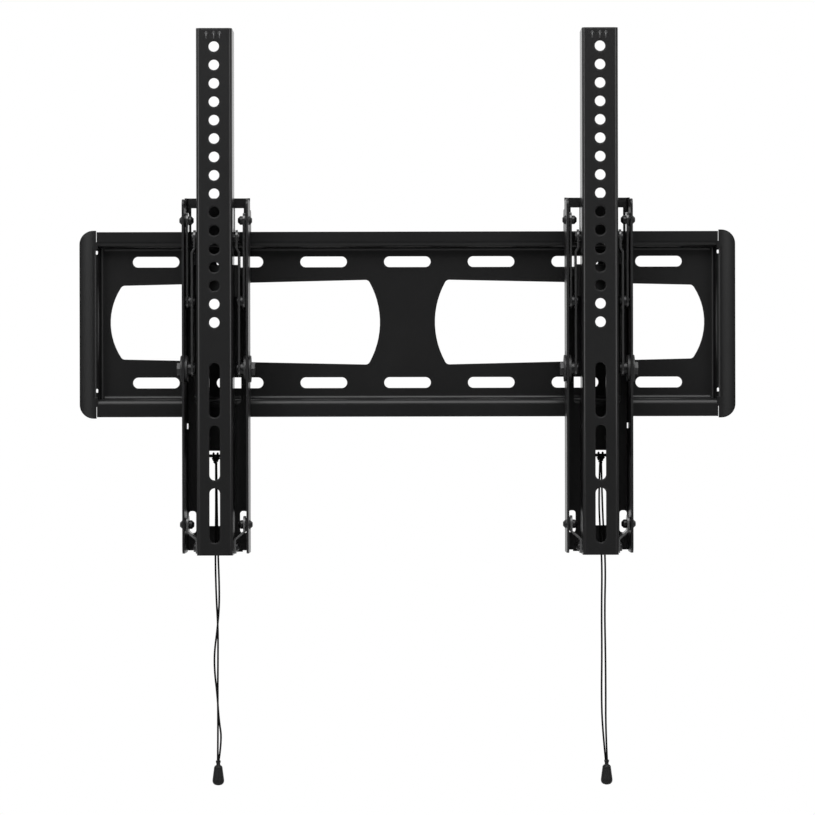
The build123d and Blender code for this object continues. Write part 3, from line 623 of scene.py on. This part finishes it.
def wound_spring(side):
    """A tube along a helix between the spring's two seats; a sine of the way up brings the turns closer
    together at the ends and in the middle."""
    low, high = (np.array(corner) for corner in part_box(side + "_latch_spring"))
    middle = (low + high) / 2
    coil_radius = (high[0] - low[0]) / 2 - spring_wire_radius
    share = np.linspace(0, 1, spring_turns * spring_steps)
    eased = share - spring_crowding * np.sin(2 * tau * share)
    path = np.empty((len(share), 3))
    path[:, 0] = middle[0] + coil_radius * np.cos(spring_turns * tau * share)
    path[:, 1] = middle[1] + coil_radius * np.sin(spring_turns * tau * share)
    path[:, 2] = low[2] + spring_wire_radius + (high[2] - low[2] - 2 * spring_wire_radius) * eased
    points = tube_points(path, spring_wire_radius, spring_columns)
    piece = grid_piece(side + "_spring_coil", points, spring_wire)
    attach(piece, side + "_hook")
    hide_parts(side + "_latch_spring")
    pull = next(joint for joint in frame["joints"] if joint["name"] == side + "_latch_pull")
    keep = 1 - pull["range_m"][1] / (high[2] - low[2])
    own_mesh(piece)
    return piece


for side in sides:
    print(side, wound_spring(side).name)

# %% [markdown]
# ## The mark at the top of the arms
# Three small arrows stand at the top of each arm, so that nobody hangs it upside down. The strokes are hardly
# raised, and their coat is painted paler than the arm's: a painted highlight for the light that their edges
# catch. They could be painted in the arm's coat, but a raised stroke stays sharp from close by. Each one is a
# flattened tube along a path in the arm's front face.

# %% Press the marks
arrow_places = (-0.0063, -0.0001, 0.0047)
arrow_foot = 0.2296
arrow_height = 0.0058
head_width = 0.0028
head_height = 0.0018
stroke_radius = 0.00050
stroke_rise = 0.00008


def arrow_strokes(place):
    """The paths of one arrow's shaft and head, as points across and up the arm."""
    tip = arrow_foot + arrow_height
    barb = tip - head_height
    shaft = ((place, arrow_foot), (place, tip - head_height / 2))
    head = ((place - head_width / 2, barb), (place, tip), (place + head_width / 2, barb))
    return {"shaft": shaft, "head": head}


def pressed_mark(side):
    """The strokes of one arm's arrows: tubes that are flattened towards its front face."""
    pieces = []
    for number, place in enumerate(arrow_places, 1):
        for part, stroke in arrow_strokes(place).items():
            across, up = np.array(stroke).T
            face = np.full(len(stroke), -arm_front)
            points = tube_points(np.stack((bracket_centre[side] + across, face, up), axis=1), stroke_radius)
            points[..., 1] = (points[..., 1] + arm_front) * stroke_rise / stroke_radius - arm_front
            piece = grid_piece(f"{side}_arrow_{number}_{part}", points, mark_coat_painted_highlight)
            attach(piece, side + "_arm")
            pieces.append(piece)
    return pieces


for side in sides:
    print(side, "mark", len(pressed_mark(side)))

# %% [markdown]
# ## The floor
# The bracket hangs on a wall, about as high as a screen's middle, over a pale floor. The floor is one
# flat square. It takes the shadow, and glows a little to the camera alone, so that it looks white.

# %% Lay the floor
floor_height = -1.15
floor_reach = 1.8
floor_glow = 0.75


def pale_floor():
    """A flat square under the object, as wide each way as its reach on both sides."""
    material, shader, wire = new_finish("pale floor")
    mottle = wire.noise(scale=3.0)
    seen = wire.add("ShaderNodeLightPath", output="Is Camera Ray")
    connect(wire, shader,
            Base_Color=wire.blend(mottle, (0.86, 0.86, 0.86, 1), (0.90, 0.90, 0.90, 1)),
            Roughness=0.9,
            Emission_Color=(1, 1, 1, 1),
            Emission_Strength=seen * floor_glow)
    mesh = bpy.data.meshes.new("floor")
    corners = floor_reach * np.array(((-1, -1, 0), (1, -1, 0), (1, 1, 0), (-1, 1, 0)), float)
    corners[:, 2] = floor_height
    mesh.from_pydata(corners.tolist(), [], [(0, 1, 2, 3)])
    mesh.materials.append(material)
    floor = add_object("floor", mesh)
    return floor


print(pale_floor().name)

# %% [markdown]
# ## The light
# The picture is a cut-out on white, so the world is white to the camera, and to reflections of what is
# behind the bracket. To everything else it is a dim room. The light that matters comes from one large
# soft lamp above and in front, which draws lines along the folds and lights the lower rims of the holes,
# and from a panel on either side, which draws the lines along the arms' edges and the bands on the
# plate's end lips. The flat faces stay nearly black.

# %% Whiten the background
room_light = 0.15
white_from = 0.6

world = bpy.data.worlds.new("studio")
world.use_nodes = True
bpy.context.scene.world = world
studio = Wire(world.node_tree)
camera_ray = studio.add("ShaderNodeLightPath", output="Is Camera Ray")
clear_ray = studio.add("ShaderNodeLightPath", output="Is Transmission Ray")
glossy_ray = studio.add("ShaderNodeLightPath", output="Is Glossy Ray")
direction = studio.add("ShaderNodeTexCoord", output="Generated")
backwards = studio.add("ShaderNodeSeparateXYZ", None, {0: direction}, output="Y")
behind = studio.add("ShaderNodeMapRange", {"interpolation_type": "SMOOTHSTEP"}, {
    "Value": backwards, "From Min": 0.0, "From Max": white_from, "To Min": 0.0, "To Max": 1.0})
white = studio.math("MINIMUM", camera_ray + clear_ray + glossy_ray * behind, 1.0)
background = world.node_tree.nodes["Background"]
connect(studio, background, Color=(1, 1, 1, 1), Strength=white.span(room_light, 1.0))
print("world", world.name)


# %% Light the studio
bracket_middle = Vector((0.0, -0.03, 0.02))


def soft_lamp(name, place, size, power):
    """A rectangular area lamp at a place, turned to shine at the middle of the bracket."""
    data = bpy.data.lights.new(name, "AREA")
    data.shape = "RECTANGLE"
    data.size, data.size_y = size
    data.energy = power
    lamp = add_object(name, data)
    lamp.location = place
    lamp.rotation_euler = (bracket_middle - Vector(place)).to_track_quat("-Z", "Y").to_euler()
    return lamp


lamps = (
    soft_lamp("key above", place=(-0.1, -1.25, 1.65), size=(2.4, 1.7), power=62.0),
    soft_lamp("left panel", place=(-1.45, -1.40, 0.42), size=(0.8, 1.1), power=11.0),
    soft_lamp("right panel", place=(1.45, -1.40, 0.42), size=(0.8, 1.1), power=9.8),
)
bpy.context.scene.view_settings.view_transform = "Standard"
print("lamps", [lamp.name for lamp in lamps])
